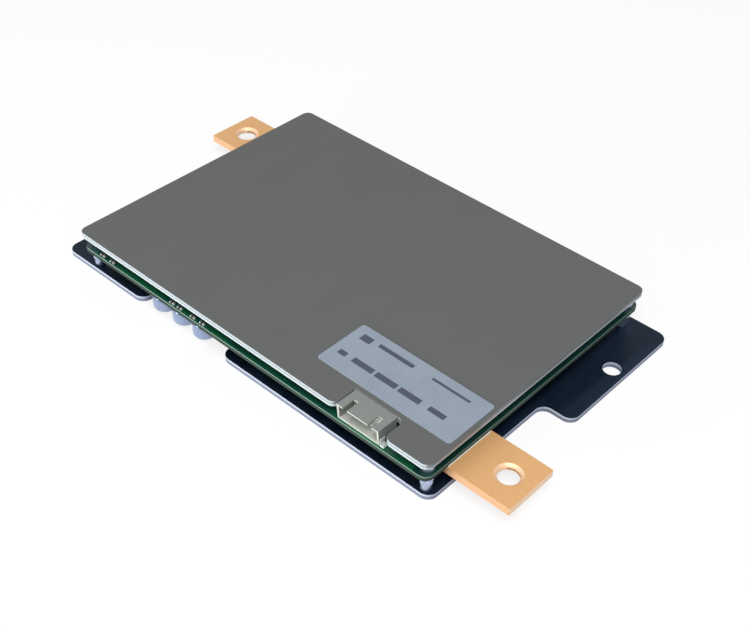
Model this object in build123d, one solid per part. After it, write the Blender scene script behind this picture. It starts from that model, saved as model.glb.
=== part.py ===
"""Battery management board: two aluminium plates with a circuit board between them.

Millimetres, +Z up. The origin is the middle of the overall footprint, on the underside of the base plate.
Distances along the board are taken from the left end or the front edge of the top plate.
"""
import os
from math import cos, pi, sin

from build123d import *

# Top plate: flat aluminium sheet that spreads the heat of the power transistors
PLATE_LENGTH = 150.0
PLATE_DEPTH = 106.6
PLATE_THICKNESS = 2.0
PLATE_CORNER = 2.6
EDGE_BREAK = 0.12
NEAR = 0.01

# Stack from the base plate up
BASE_THICKNESS = 2.0
LOWER_GAP = 6.5
BOARD_THICKNESS = 1.6
UPPER_GAP = 4.0

# Base plate: its body is as long as the top plate, and has an ear at each end
BASE_FRONT_INSET = 2.0
BASE_REAR_REACH = 0.9
BASE_CORNER = 3.5
EAR_REACH = 11.0
EAR_LENGTH = 53.0
EAR_HOLE_DIAMETER = 6.0
EAR_HOLE_REACH = 6.4
EAR_HOLE_FROM_END = 25.4

# Circuit board
BOARD_END_INSET = 0.5
BOARD_EDGE_INSET = 0.6
BOARD_CORNER = 3.0

# Corner fixings: screw, lower standoff, board, upper spacer
FIXING_FROM_END = 3.4
FIXING_FROM_EDGE = 4.5
SCREW_DIAMETER = 2.0
SCREW_ENGAGEMENT = 3.0
SCREW_HEAD_DIAMETER = 3.6
SCREW_HEAD_HEIGHT = 0.8
SCREW_SOCKET_WIDTH = 1.3
SCREW_SOCKET_DEPTH = 0.55
THREAD_CLEARANCE = 0.05
THREAD_RUNOUT = 0.8
HOLE_CLEARANCE = 0.1
STANDOFF_DIAMETER = 4.0
STANDOFF_FOOT_DIAMETER = 3.4
STANDOFF_FOOT_LENGTH = 2.6
STUD_ABOVE_BOARD = 2.8
SPACER_DIAMETER = 4.2

# Copper busbars, soldered under the board
BAR_WIDTH = 20.0
BAR_THICKNESS = 2.5
BAR_REACH = 21.4
BAR_OVERLAP = 16.0
BAR_HOLE_DIAMETER = 6.6
BAR_HOLE_SINK = 1.0
BAR_HOLE_SINK_DEPTH = 0.75
BAR_HOLE_FROM_TIP = 8.0
BAR_EDGE = 0.3
BATTERY_BAR_FROM_FRONT = 9.4
PACK_BAR_FROM_REAR = 9.0

# Radial capacitors that hang from the board into the cut-out of the base plate
CAN_COUNT = 3
CAN_DIAMETER = 8.0
CAN_LENGTH = 7.0
CAN_PITCH = 9.5
CAN_RIM = 1.2
CAN_RIM_STEPS = 2
CAN_SEAL_DIAMETER = 6.2
CAN_SEAL_HEIGHT = 0.4
CAN_GROOVE_FROM_SEAL = 1.5
CAN_GROOVE_DEPTH = 0.4
CAN_VENT_WIDTH = 0.3
CAN_VENT_DEPTH = 0.15
FIRST_CAN_FROM_LEFT = 35.4
CAN_FROM_FRONT = 5.6
CUTOUT_LEFT_ROOM = 3.3
CUTOUT_RIGHT_ROOM = 6.9
CUTOUT_REAR_ROOM = 1.8

# Balance lead connector: side entry header with six pins, flush with the front of the board
CONNECTOR_WIDTH = 15.9
CONNECTOR_DEPTH = 8.0
CONNECTOR_HEIGHT = 5.9
CONNECTOR_RAKE = 0.7
CONNECTOR_FROM_RIGHT = 26.4
CONNECTOR_FROM_FRONT = 0.6
CONNECTOR_SIDE_WALL = 0.8
CONNECTOR_FLOOR = 0.6
CONNECTOR_ROOF = 0.7
CONNECTOR_BACK_WALL = 1.3
CONNECTOR_LEAD_IN = 0.25
SLOT_WIDTH = 1.65
SLOT_DEPTH = 4.7
SLOT_FROM_CENTRE = 4.7
PIN_COUNT = 6
PIN_PITCH = 2.0
PIN_WIDTH = 0.5
PIN_FROM_MOUTH = 1.4
PIN_HEIGHT = 2.9
PIN_TAIL = 0.9
PIN_FOOT = 0.9
PIN_FIT = 0.03
TAB_SHEET = 0.3
TAB_LENGTH = 2.1
TAB_HEIGHT = 2.2
TAB_FOOT = 1.3
TAB_FROM_FRONT = 0.8

# Notch of the top plate round the connector
NOTCH_LEFT_GAP = 0.3
NOTCH_RIGHT_GAP = 2.4
NOTCH_REAR_GAP = 0.2
NOTCH_MOUTH_RADIUS = 2.6
NOTCH_INNER_LEFT = 0.6
NOTCH_INNER_RIGHT = 2.4

# Label on the top plate
LABEL_LENGTH = 50.0
LABEL_DEPTH = 20.0
LABEL_THICKNESS = 0.12
LABEL_CORNER = 2.5
LABEL_FROM_RIGHT = 1.5
LABEL_BEHIND_NOTCH = 2.0

# Power transistors: two rows of leadless packages, drains facing each other
MOSFET_PER_ROW = 6
MOSFET_WIDTH = 9.9
MOSFET_BODY_DEPTH = 9.6
MOSFET_HEIGHT = 2.3
MOSFET_GAP = 1.5
MOSFET_TAB_WIDTH = 8.9
MOSFET_TAB_REACH = 0.9
MOSFET_LEAD_COUNT = 8
MOSFET_LEAD_WIDTH = 0.7
MOSFET_LEAD_PITCH = 1.2
MOSFET_LEAD_REACH = 0.8
MOSFET_METAL_HEIGHT = 0.5
MOSFET_BEVEL = 0.4
MOSFET_ROW_GAP = 3.0
MOSFET_ROWS_BEHIND_MIDDLE = 6.7
PAD_OVERHANG = 0.6

# Current sense resistors beside the battery busbar
SHUNT_COUNT = 4
SHUNT_LENGTH = 6.4
SHUNT_WIDTH = 3.2
SHUNT_HEIGHT = 1.0
SHUNT_TERMINAL = 1.2
SHUNT_BRIDGE = 0.35
SHUNT_PITCH = 5.0
SHUNT_FROM_RIGHT = 24.0
FIRST_SHUNT_FROM_FRONT = 26.0

# Controller: square flat pack
CONTROLLER_BODY = 7.0
CONTROLLER_HEIGHT = 1.4
CONTROLLER_LEAD_COUNT = 8
CONTROLLER_LEAD_PITCH = 0.8
CONTROLLER_LEAD_WIDTH = 0.35
CONTROLLER_RIGHT_OF_MIDDLE = 17.0
CONTROLLER_FROM_FRONT = 26.0

# Cell monitor: long two-row pack
MONITOR_LENGTH = 6.5
MONITOR_WIDTH = 4.4
MONITOR_HEIGHT = 1.2
MONITOR_LEAD_COUNT = 10
MONITOR_LEAD_PITCH = 0.65
MONITOR_LEAD_WIDTH = 0.25
MONITOR_LEFT_OF_MIDDLE = 9.0
MONITOR_FROM_FRONT = 26.0

# Gull wing leads of every chip; a lead count is for one side
LEAD_SHEET = 0.2
LEAD_REACH = 1.1
LEAD_FOOT = 0.55
CHIP_BEVEL = 0.15

# Active balancing: for each cell an inductor under the board and a switch pack on top
CELL_COUNT = 4
INDUCTOR_SIDE = 6.0
INDUCTOR_HEIGHT = 4.2
INDUCTOR_CORNER = 1.2
INDUCTOR_FOOT_WIDTH = 1.8
INDUCTOR_FOOT_LENGTH = 2.0
INDUCTOR_FOOT_HEIGHT = 2.1
INDUCTOR_FOOT_SHEET = 0.15
INDUCTOR_PITCH = 17.0
BALANCE_FROM_REAR = 11.0
SWITCH_LENGTH = 4.9
SWITCH_WIDTH = 3.9
SWITCH_HEIGHT = 1.5
SWITCH_LEAD_COUNT = 4
SWITCH_LEAD_PITCH = 1.27
SWITCH_LEAD_WIDTH = 0.42

# Clock crystal and supply converter, under the board
CRYSTAL_LENGTH = 11.0
CRYSTAL_WIDTH = 4.6
CRYSTAL_HEIGHT = 3.4
CRYSTAL_FLANGE = 0.4
CRYSTAL_BEVEL = 0.5
CRYSTAL_RIGHT_OF_MIDDLE = 17.0
CRYSTAL_FROM_FRONT = 22.0
REGULATOR_LENGTH = 6.5
REGULATOR_WIDTH = 3.5
REGULATOR_HEIGHT = 1.6
REGULATOR_LEAD_COUNT = 3
REGULATOR_LEAD_PITCH = 2.3
REGULATOR_LEAD_WIDTH = 0.7
REGULATOR_LEFT_OF_MIDDLE = 35.0
REGULATOR_FROM_FRONT = 26.0

# Small chip parts along the front edge of the board
CHIP_LENGTH = 1.6
CHIP_WIDTH = 0.8
CHIP_HEIGHT = 0.6
CHIP_CAP_LENGTH = 0.35
CHIP_CAP_PROUD = 0.05
CHIP_FROM_BOARD_EDGE = 0.5
CHIP_PLACES = (9.9, 14.8, 44.2, 47.7, 53.8, 58.1)

# Worked out from the values above
BASE_TOP = BASE_THICKNESS
BOARD_BOTTOM = BASE_TOP + LOWER_GAP
BOARD_TOP = BOARD_BOTTOM + BOARD_THICKNESS
PLATE_BOTTOM = BOARD_TOP + UPPER_GAP
PLATE_TOP = PLATE_BOTTOM + PLATE_THICKNESS
BASE_REAR = PLATE_DEPTH + BASE_REAR_REACH
FRONT = -BASE_REAR / 2
MIDDLE = PLATE_LENGTH / 2
NOTCH_DEPTH = CONNECTOR_FROM_FRONT + CONNECTOR_DEPTH + NOTCH_REAR_GAP
CONNECTOR_X = PLATE_LENGTH - CONNECTOR_FROM_RIGHT
MOSFET_PITCH = MOSFET_WIDTH + MOSFET_GAP
ROW_OFFSET = MOSFET_BODY_DEPTH / 2 + MOSFET_TAB_REACH + MOSFET_ROW_GAP / 2
LAST_CAN_X = FIRST_CAN_FROM_LEFT + (CAN_COUNT - 1) * CAN_PITCH
UP = (Align.CENTER, Align.CENTER, Align.MIN)
DOWN = (Align.CENTER, Align.CENTER, Align.MAX)
FROM_MOUTH = (Align.CENTER, Align.MIN, Align.MIN)


def place(from_left, from_front, height):
    """Location given by distances from the left end and the front edge of the top plate."""
    return Pos(from_left - MIDDLE, FRONT + from_front, height)


def fixing_places():
    """The four corner fixings, as distances from the left end and the front edge."""
    return [
        (x, y)
        for y in (FIXING_FROM_EDGE, PLATE_DEPTH - FIXING_FROM_EDGE)
        for x in (FIXING_FROM_END, PLATE_LENGTH - FIXING_FROM_END)
    ]


def can_places():
    """The capacitors, as distances from the left end and the front edge."""
    return [(FIRST_CAN_FROM_LEFT + n * CAN_PITCH, CAN_FROM_FRONT) for n in range(CAN_COUNT)]


def drill(part, places, diameter, bottom, height):
    """Round holes along Z."""
    for x, y in places:
        part -= place(x, y, bottom) * Cylinder(diameter / 2, height, align=UP)
    return part


def break_top_edge(part):
    """A small chamfer round the top outline of a sheet, where the punch rolls the edge over."""
    top = part.faces().filter_by(Axis.Z).sort_by(Axis.Z)[-1]
    return chamfer(top.outer_wire().edges(), EDGE_BREAK)


def top_plate():
    sheet = Rectangle(PLATE_LENGTH, PLATE_DEPTH)
    sheet = fillet(sheet.vertices(), PLATE_CORNER)
    left = CONNECTOR_WIDTH / 2 + NOTCH_LEFT_GAP
    right = CONNECTOR_WIDTH / 2 + NOTCH_RIGHT_GAP
    middle = CONNECTOR_X - MIDDLE + (right - left) / 2
    sheet -= Pos(middle, (NOTCH_DEPTH - PLATE_DEPTH) / 2) * Rectangle(left + right, NOTCH_DEPTH)
    for sign, radius in ((-1, NOTCH_INNER_LEFT), (1, NOTCH_INNER_RIGHT)):
        corner = Vector(middle + sign * (left + right) / 2, NOTCH_DEPTH - PLATE_DEPTH / 2)
        sheet = fillet(sheet.vertices().sort_by_distance(corner)[0], radius)
    reach = (left + right) / 2 + NEAR
    mouth = [
        v
        for v in sheet.vertices()
        if abs(v.Y + PLATE_DEPTH / 2) < NEAR and abs(v.X - middle) < reach
    ]
    sheet = fillet(mouth, NOTCH_MOUTH_RADIUS)
    part = place(MIDDLE, PLATE_DEPTH / 2, PLATE_BOTTOM) * extrude(sheet, PLATE_THICKNESS)
    return break_top_edge(part)


def base_outline():
    """Plan of the base plate: body, two ears half a turn apart, and the capacitor cut-out."""
    front, rear = BASE_FRONT_INSET, BASE_REAR
    cut_left = FIRST_CAN_FROM_LEFT - CAN_DIAMETER / 2 - CUTOUT_LEFT_ROOM
    cut_right = LAST_CAN_X + CAN_DIAMETER / 2 + CUTOUT_RIGHT_ROOM
    cut_rear = CAN_FROM_FRONT + CAN_DIAMETER / 2 + CUTOUT_REAR_ROOM
    return [
        (-EAR_REACH, front),
        (cut_left, front),
        (cut_left, cut_rear),
        (cut_right, cut_rear),
        (cut_right, front),
        (PLATE_LENGTH, front),
        (PLATE_LENGTH, rear - EAR_LENGTH),
        (PLATE_LENGTH + EAR_REACH, rear - EAR_LENGTH),
        (PLATE_LENGTH + EAR_REACH, rear),
        (0, rear),
        (0, front + EAR_LENGTH),
        (-EAR_REACH, front + EAR_LENGTH),
    ]


def ear_holes():
    """The mounting holes, as distances from the left end and the front edge of the top plate."""
    return [
        (-EAR_HOLE_REACH, BASE_FRONT_INSET + EAR_HOLE_FROM_END),
        (PLATE_LENGTH + EAR_HOLE_REACH, BASE_REAR - EAR_HOLE_FROM_END),
    ]


def base_plate():
    sheet = Polygon(*base_outline(), align=None)
    sheet = fillet(sheet.vertices(), BASE_CORNER)
    part = place(0, 0, 0) * extrude(sheet, BASE_THICKNESS)
    part = break_top_edge(part)
    part = drill(part, ear_holes(), EAR_HOLE_DIAMETER, 0, BASE_THICKNESS)
    part = drill(part, fixing_places(), SCREW_DIAMETER + 2 * HOLE_CLEARANCE, 0, BASE_THICKNESS)
    for x, y in fixing_places():
        part -= place(x, y, 0) * screw_head(HOLE_CLEARANCE)
    return part


def screw_head(clearance=0.0):
    """Countersunk head from the underside up, or its seat where a clearance is given."""
    head = SCREW_HEAD_DIAMETER / 2 + clearance
    shank = SCREW_DIAMETER / 2 + clearance
    return Cone(head, shank, SCREW_HEAD_HEIGHT, align=UP)


def base_screw():
    length = BASE_THICKNESS + SCREW_ENGAGEMENT
    screw = screw_head() + Cylinder(SCREW_DIAMETER / 2, length, align=UP)
    socket = extrude(RegularPolygon(SCREW_SOCKET_WIDTH / 2, 6, major_radius=False), SCREW_SOCKET_DEPTH)
    return screw - socket


def lower_standoff():
    """Turned standoff: slim foot on the base plate, body under the board, stud up through it."""
    foot = STANDOFF_FOOT_DIAMETER / 2
    body = STANDOFF_DIAMETER / 2
    stud = SCREW_DIAMETER / 2
    top = LOWER_GAP
    tip = LOWER_GAP + BOARD_THICKNESS + STUD_ABOVE_BOARD
    profile = Polyline(
        (0, 0),
        (foot, 0),
        (foot, STANDOFF_FOOT_LENGTH),
        (body, STANDOFF_FOOT_LENGTH),
        (body, top),
        (stud, top),
        (stud, tip),
        (0, tip),
        close=True,
    )
    turned = revolve(make_face(Plane.XZ * profile), Axis.Z)
    return turned - threaded_bore(SCREW_ENGAGEMENT)


def threaded_bore(engagement):
    """Bore for a screw or stud that reaches this far in."""
    return Cylinder(SCREW_DIAMETER / 2 + THREAD_CLEARANCE, engagement + THREAD_RUNOUT, align=UP)


def upper_spacer():
    """Blind threaded spacer, welded to the underside of the top plate."""
    return Cylinder(SPACER_DIAMETER / 2, UPPER_GAP, align=UP) - threaded_bore(STUD_ABOVE_BOARD)


def main_board():
    length = PLATE_LENGTH - 2 * BOARD_END_INSET
    depth = PLATE_DEPTH - 2 * BOARD_EDGE_INSET
    sheet = RectangleRounded(length, depth, BOARD_CORNER)
    part = place(MIDDLE, PLATE_DEPTH / 2, BOARD_BOTTOM) * extrude(sheet, BOARD_THICKNESS)
    hole = SCREW_DIAMETER + 2 * HOLE_CLEARANCE
    return drill(part, fixing_places(), hole, BOARD_BOTTOM, BOARD_THICKNESS)


def busbar():
    """Flat copper bar along +X, its tip at the origin end, top face at height 0."""
    length = BAR_REACH + BOARD_END_INSET + BAR_OVERLAP
    bar = Box(length, BAR_WIDTH, BAR_THICKNESS, align=(Align.MAX, Align.CENTER, Align.MAX))
    bar = chamfer(bar.edges().filter_by(Axis.Z), BAR_EDGE)
    bore = BAR_HOLE_DIAMETER / 2
    hole = Cylinder(bore, BAR_THICKNESS, align=DOWN)
    hole += Cone(bore, bore + BAR_HOLE_SINK, BAR_HOLE_SINK_DEPTH, align=DOWN)
    hole += Pos(0, 0, -BAR_THICKNESS) * Cone(bore + BAR_HOLE_SINK, bore, BAR_HOLE_SINK_DEPTH, align=UP)
    return bar - Pos(-BAR_HOLE_FROM_TIP, 0, 0) * hole


def capacitor():
    """Radial can, closed end down, its rubber seal against the board at height 0."""
    radius = CAN_DIAMETER / 2
    top = -CAN_SEAL_HEIGHT
    bottom = top - CAN_LENGTH
    groove = top - CAN_GROOVE_FROM_SEAL
    seal = CAN_SEAL_DIAMETER / 2
    turns = [step / CAN_RIM_STEPS * pi / 2 for step in range(CAN_RIM_STEPS + 1)]
    rim = [(radius - CAN_RIM * (1 - sin(a)), bottom + CAN_RIM * (1 - cos(a))) for a in turns]
    profile = Polyline(
        (0, bottom),
        *rim,
        (radius, groove - CAN_GROOVE_DEPTH),
        (radius - CAN_GROOVE_DEPTH, groove),
        (radius, groove + CAN_GROOVE_DEPTH),
        (radius, top),
        (seal, top),
        (seal, 0),
        (0, 0),
        close=True,
    )
    can = revolve(make_face(Plane.XZ * profile), Axis.Z)
    score = Box(radius, CAN_VENT_WIDTH, CAN_VENT_DEPTH, align=UP)
    for turn in (0, 90):
        can -= Pos(0, 0, bottom) * Rot(0, 0, turn) * score
    return can


def connector_housing():
    """Open-fronted shell, mouth towards -Y, with two slots in its roof and a hole for each pin.

    Its front is raked, so that the lip of the roof stands ahead of the lip of the floor.
    """
    side_view = Polygon(
        (CONNECTOR_RAKE, 0),
        (CONNECTOR_DEPTH, 0),
        (CONNECTOR_DEPTH, CONNECTOR_HEIGHT),
        (0, CONNECTOR_HEIGHT),
        align=None,
    )
    shell = extrude(Plane.YZ * side_view, CONNECTOR_WIDTH / 2, both=True)
    cavity_depth = CONNECTOR_DEPTH - CONNECTOR_BACK_WALL
    cavity_width = CONNECTOR_WIDTH - 2 * CONNECTOR_SIDE_WALL
    cavity_height = CONNECTOR_HEIGHT - CONNECTOR_FLOOR - CONNECTOR_ROOF
    cavity = Box(cavity_width, cavity_depth, cavity_height, align=FROM_MOUTH)
    shell -= Pos(0, 0, CONNECTOR_FLOOR) * cavity
    mouth = [
        e
        for e in shell.faces().sort_by(Axis.Y)[0].edges()
        if abs(e.center().X) < cavity_width / 2 + NEAR
        and abs(e.center().Z - CONNECTOR_FLOOR - cavity_height / 2) < cavity_height / 2 + NEAR
    ]
    shell = chamfer(mouth, CONNECTOR_LEAD_IN)
    slot = Box(SLOT_WIDTH, SLOT_DEPTH, 2 * CONNECTOR_ROOF, align=FROM_MOUTH)
    for side in (-1, 1):
        shell -= Pos(side * SLOT_FROM_CENTRE, 0, CONNECTOR_HEIGHT - CONNECTOR_ROOF) * slot
    hole = Box(PIN_WIDTH + 2 * PIN_FIT, 2 * CONNECTOR_BACK_WALL, PIN_WIDTH + 2 * PIN_FIT)
    for x in pin_offsets():
        shell -= Pos(x, CONNECTOR_DEPTH, PIN_HEIGHT) * hole
    return shell


def pin_offsets():
    """Places of the pins along the connector, from its middle."""
    return [(n - (PIN_COUNT - 1) / 2) * PIN_PITCH for n in range(PIN_COUNT)]


def connector_pin():
    """Square pin from inside the mouth, out of the back wall, down to a foot on the board."""
    half = PIN_WIDTH / 2
    tail = CONNECTOR_DEPTH + PIN_TAIL
    side_view = Polygon(
        (PIN_FROM_MOUTH, PIN_HEIGHT - half / 2),
        (PIN_FROM_MOUTH + half, PIN_HEIGHT - half),
        (tail - half, PIN_HEIGHT - half),
        (tail - half, 0),
        (tail + half + PIN_FOOT, 0),
        (tail + half + PIN_FOOT, half),
        (tail + half, half),
        (tail + half, PIN_HEIGHT),
        (tail, PIN_HEIGHT + half),
        (PIN_FROM_MOUTH + half, PIN_HEIGHT + half),
        (PIN_FROM_MOUTH, PIN_HEIGHT + half / 2),
        align=None,
    )
    return extrude(Plane.YZ * side_view, PIN_WIDTH / 2, both=True)


def connector_tab():
    """Solder tab: a sheet against the side of the housing, bent out to a foot. Extends towards +X."""
    side_view = Polygon(
        (0, 0),
        (TAB_SHEET + TAB_FOOT, 0),
        (TAB_SHEET + TAB_FOOT, TAB_SHEET),
        (TAB_SHEET, TAB_SHEET),
        (TAB_SHEET, TAB_HEIGHT),
        (0, TAB_HEIGHT),
        align=None,
    )
    return extrude(Plane.XZ * side_view, TAB_LENGTH / 2, both=True)


def label():
    sheet = RectangleRounded(LABEL_LENGTH, LABEL_DEPTH, LABEL_CORNER)
    return extrude(sheet, LABEL_THICKNESS)


def mosfet():
    """Flat power package: moulded body, drain tab towards +Y, row of leads towards -Y."""
    body = Box(MOSFET_WIDTH, MOSFET_BODY_DEPTH, MOSFET_HEIGHT, align=UP)
    body = chamfer(body.faces().sort_by(Axis.Z)[-1].edges(), MOSFET_BEVEL)
    tab = Box(MOSFET_TAB_WIDTH, 2 * MOSFET_TAB_REACH, MOSFET_METAL_HEIGHT, align=UP)
    body += Pos(0, MOSFET_BODY_DEPTH / 2, 0) * tab
    lead = Box(MOSFET_LEAD_WIDTH, 2 * MOSFET_LEAD_REACH, MOSFET_METAL_HEIGHT, align=UP)
    for n in range(MOSFET_LEAD_COUNT):
        x = (n - (MOSFET_LEAD_COUNT - 1) / 2) * MOSFET_LEAD_PITCH
        body += Pos(x, -MOSFET_BODY_DEPTH / 2, 0) * lead
    return body


def thermal_pad():
    """Silicone strip between a row of transistors and the top plate."""
    length = MOSFET_PER_ROW * MOSFET_PITCH - MOSFET_GAP + 2 * PAD_OVERHANG
    return Box(length, MOSFET_BODY_DEPTH, UPPER_GAP - MOSFET_HEIGHT, align=UP)


def shunt():
    """Metal strip resistor: two terminals joined by a raised bridge."""
    side_view = Polyline(
        (-SHUNT_LENGTH / 2, 0),
        (-SHUNT_LENGTH / 2 + SHUNT_TERMINAL, 0),
        (-SHUNT_LENGTH / 2 + SHUNT_TERMINAL + SHUNT_BRIDGE, SHUNT_HEIGHT - SHUNT_BRIDGE),
        (SHUNT_LENGTH / 2 - SHUNT_TERMINAL - SHUNT_BRIDGE, SHUNT_HEIGHT - SHUNT_BRIDGE),
        (SHUNT_LENGTH / 2 - SHUNT_TERMINAL, 0),
        (SHUNT_LENGTH / 2, 0),
        (SHUNT_LENGTH / 2, SHUNT_HEIGHT),
        (-SHUNT_LENGTH / 2, SHUNT_HEIGHT),
        close=True,
    )
    return extrude(Plane.XZ * make_face(side_view), SHUNT_WIDTH / 2, both=True)


def gull_wing(width, body_edge, body_height):
    """One bent lead towards +X, from inside the body at its middle height down to a flat foot."""
    middle = body_height / 2
    foot = body_edge + LEAD_REACH - LEAD_FOOT
    side_view = Polyline(
        (body_edge - LEAD_SHEET, middle),
        (foot - LEAD_SHEET, 0),
        (body_edge + LEAD_REACH, 0),
        (body_edge + LEAD_REACH, LEAD_SHEET),
        (foot, LEAD_SHEET),
        (body_edge - LEAD_SHEET, middle + 2 * LEAD_SHEET),
        close=True,
    )
    return extrude(Plane.XZ * make_face(side_view), width / 2, both=True)


def chip(length, width, height, leads, pitch, lead_width, sides):
    """Moulded chip with bevelled edges and gull wing leads on two or four sides."""
    body = Box(length, width, height - LEAD_SHEET, align=UP)
    body = Pos(0, 0, LEAD_SHEET) * chamfer(body.edges(), CHIP_BEVEL)
    for turn in sides:
        edge = length / 2 if turn % 180 == 0 else width / 2
        lead = gull_wing(lead_width, edge, height)
        for n in range(leads):
            body += Rot(0, 0, turn) * Pos(0, (n - (leads - 1) / 2) * pitch, 0) * lead
    return body


def inductor():
    """Shielded power inductor with chamfered corners and two wrapped terminals."""
    sheet = chamfer(Rectangle(INDUCTOR_SIDE, INDUCTOR_SIDE).vertices(), INDUCTOR_CORNER)
    core = Pos(0, 0, INDUCTOR_FOOT_SHEET) * extrude(sheet, INDUCTOR_HEIGHT - INDUCTOR_FOOT_SHEET)
    core = chamfer(core.faces().sort_by(Axis.Z)[-1].edges(), CHIP_BEVEL)
    foot = Box(INDUCTOR_FOOT_LENGTH, INDUCTOR_FOOT_WIDTH, INDUCTOR_FOOT_HEIGHT, align=UP)
    foot_place = (INDUCTOR_SIDE - INDUCTOR_FOOT_LENGTH) / 2 + INDUCTOR_FOOT_SHEET
    for side in (-1, 1):
        core += Pos(side * foot_place, 0, 0) * foot
    return core


def crystal():
    """Low metal can: flange on the board, straight oval wall, bevelled top edge."""
    flange = extrude(SlotOverall(CRYSTAL_LENGTH, CRYSTAL_WIDTH), CRYSTAL_FLANGE)
    can = extrude(
        SlotOverall(CRYSTAL_LENGTH - 2 * CRYSTAL_FLANGE, CRYSTAL_WIDTH - 2 * CRYSTAL_FLANGE), CRYSTAL_HEIGHT
    )
    can = chamfer(can.faces().sort_by(Axis.Z)[-1].edges(), CRYSTAL_BEVEL)
    return flange + can


def edge_chip():
    """Small surface-mount part with plated ends."""
    body = Box(CHIP_LENGTH, CHIP_WIDTH, CHIP_HEIGHT, align=UP)
    cap = Box(CHIP_CAP_LENGTH, CHIP_WIDTH + 2 * CHIP_CAP_PROUD, CHIP_HEIGHT + CHIP_CAP_PROUD, align=UP)
    for side in (-1, 1):
        body += Pos(side * (CHIP_LENGTH - CHIP_CAP_LENGTH) / 2, 0, 0) * cap
    return body


def place_fixings(parts):
    standoff, spacer, screw = lower_standoff(), upper_spacer(), base_screw()
    screws = []
    for n, (x, y) in enumerate(fixing_places(), 1):
        parts[f"lower_standoff_{n}"] = place(x, y, BASE_TOP) * standoff
        parts[f"upper_spacer_{n}"] = place(x, y, BOARD_TOP) * spacer
        screws.append(place(x, y, 0) * screw)
    parts["base_screws"] = Compound(screws)


def place_busbars(parts):
    bar = busbar()
    battery_y = BATTERY_BAR_FROM_FRONT + BAR_WIDTH / 2
    pack_y = PLATE_DEPTH - PACK_BAR_FROM_REAR - BAR_WIDTH / 2
    parts["battery_busbar"] = place(PLATE_LENGTH + BAR_REACH, battery_y, BOARD_BOTTOM) * bar
    parts["pack_busbar"] = place(-BAR_REACH, pack_y, BOARD_BOTTOM) * Rot(0, 0, 180) * bar


def place_connector(parts):
    seat = place(CONNECTOR_X, CONNECTOR_FROM_FRONT, BOARD_TOP)
    parts["connector_housing"] = seat * connector_housing()
    pin = connector_pin()
    parts["connector_pins"] = Compound([seat * Pos(x, 0, 0) * pin for x in pin_offsets()])
    tab = Pos(CONNECTOR_WIDTH / 2, 0, 0) * connector_tab()
    tab_seat = seat * Pos(0, TAB_FROM_FRONT + TAB_LENGTH / 2, 0)
    parts["connector_tabs"] = Compound([tab_seat * Rot(0, 0, turn) * tab for turn in (0, 180)])


def place_power_parts(parts):
    transistor, pad = mosfet(), thermal_pad()
    for name, side, turn in (("discharge", -1, 0), ("charge", 1, 180)):
        y = PLATE_DEPTH / 2 + MOSFET_ROWS_BEHIND_MIDDLE + side * ROW_OFFSET
        for n in range(MOSFET_PER_ROW):
            x = MIDDLE + (n - (MOSFET_PER_ROW - 1) / 2) * MOSFET_PITCH
            parts[f"{name}_mosfet_{n + 1}"] = place(x, y, BOARD_TOP) * Rot(0, 0, turn) * transistor
        parts[f"{name}_thermal_pad"] = place(MIDDLE, y, BOARD_TOP + MOSFET_HEIGHT) * pad
    strip = shunt()
    for n in range(SHUNT_COUNT):
        y = FIRST_SHUNT_FROM_FRONT + n * SHUNT_PITCH
        parts[f"sense_resistor_{n + 1}"] = place(PLATE_LENGTH - SHUNT_FROM_RIGHT, y, BOARD_TOP) * strip


def place_control_parts(parts):
    controller = chip(
        CONTROLLER_BODY,
        CONTROLLER_BODY,
        CONTROLLER_HEIGHT,
        CONTROLLER_LEAD_COUNT,
        CONTROLLER_LEAD_PITCH,
        CONTROLLER_LEAD_WIDTH,
        (0, 90, 180, 270),
    )
    x = MIDDLE + CONTROLLER_RIGHT_OF_MIDDLE
    parts["controller"] = place(x, CONTROLLER_FROM_FRONT, BOARD_TOP) * controller
    monitor = chip(
        MONITOR_LENGTH,
        MONITOR_WIDTH,
        MONITOR_HEIGHT,
        MONITOR_LEAD_COUNT,
        MONITOR_LEAD_PITCH,
        MONITOR_LEAD_WIDTH,
        (90, 270),
    )
    x = MIDDLE - MONITOR_LEFT_OF_MIDDLE
    parts["cell_monitor"] = place(x, MONITOR_FROM_FRONT, BOARD_TOP) * monitor
    regulator = chip(
        REGULATOR_LENGTH,
        REGULATOR_WIDTH,
        REGULATOR_HEIGHT,
        REGULATOR_LEAD_COUNT,
        REGULATOR_LEAD_PITCH,
        REGULATOR_LEAD_WIDTH,
        (90, 270),
    )
    x = MIDDLE - REGULATOR_LEFT_OF_MIDDLE
    parts["supply_regulator"] = place(x, REGULATOR_FROM_FRONT, BOARD_TOP) * regulator
    x = MIDDLE + CRYSTAL_RIGHT_OF_MIDDLE
    parts["clock_crystal"] = place(x, CRYSTAL_FROM_FRONT, BOARD_BOTTOM) * Rot(180, 0, 0) * crystal()


def place_balance_parts(parts):
    switch = chip(
        SWITCH_LENGTH,
        SWITCH_WIDTH,
        SWITCH_HEIGHT,
        SWITCH_LEAD_COUNT,
        SWITCH_LEAD_PITCH,
        SWITCH_LEAD_WIDTH,
        (90, 270),
    )
    coil = inductor()
    y = PLATE_DEPTH - BALANCE_FROM_REAR
    for n in range(CELL_COUNT):
        x = MIDDLE + (n - (CELL_COUNT - 1) / 2) * INDUCTOR_PITCH
        parts[f"balance_inductor_{n + 1}"] = place(x, y, BOARD_BOTTOM) * Rot(180, 0, 0) * coil
        parts[f"balance_switch_{n + 1}"] = place(x, y, BOARD_TOP) * switch


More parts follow.
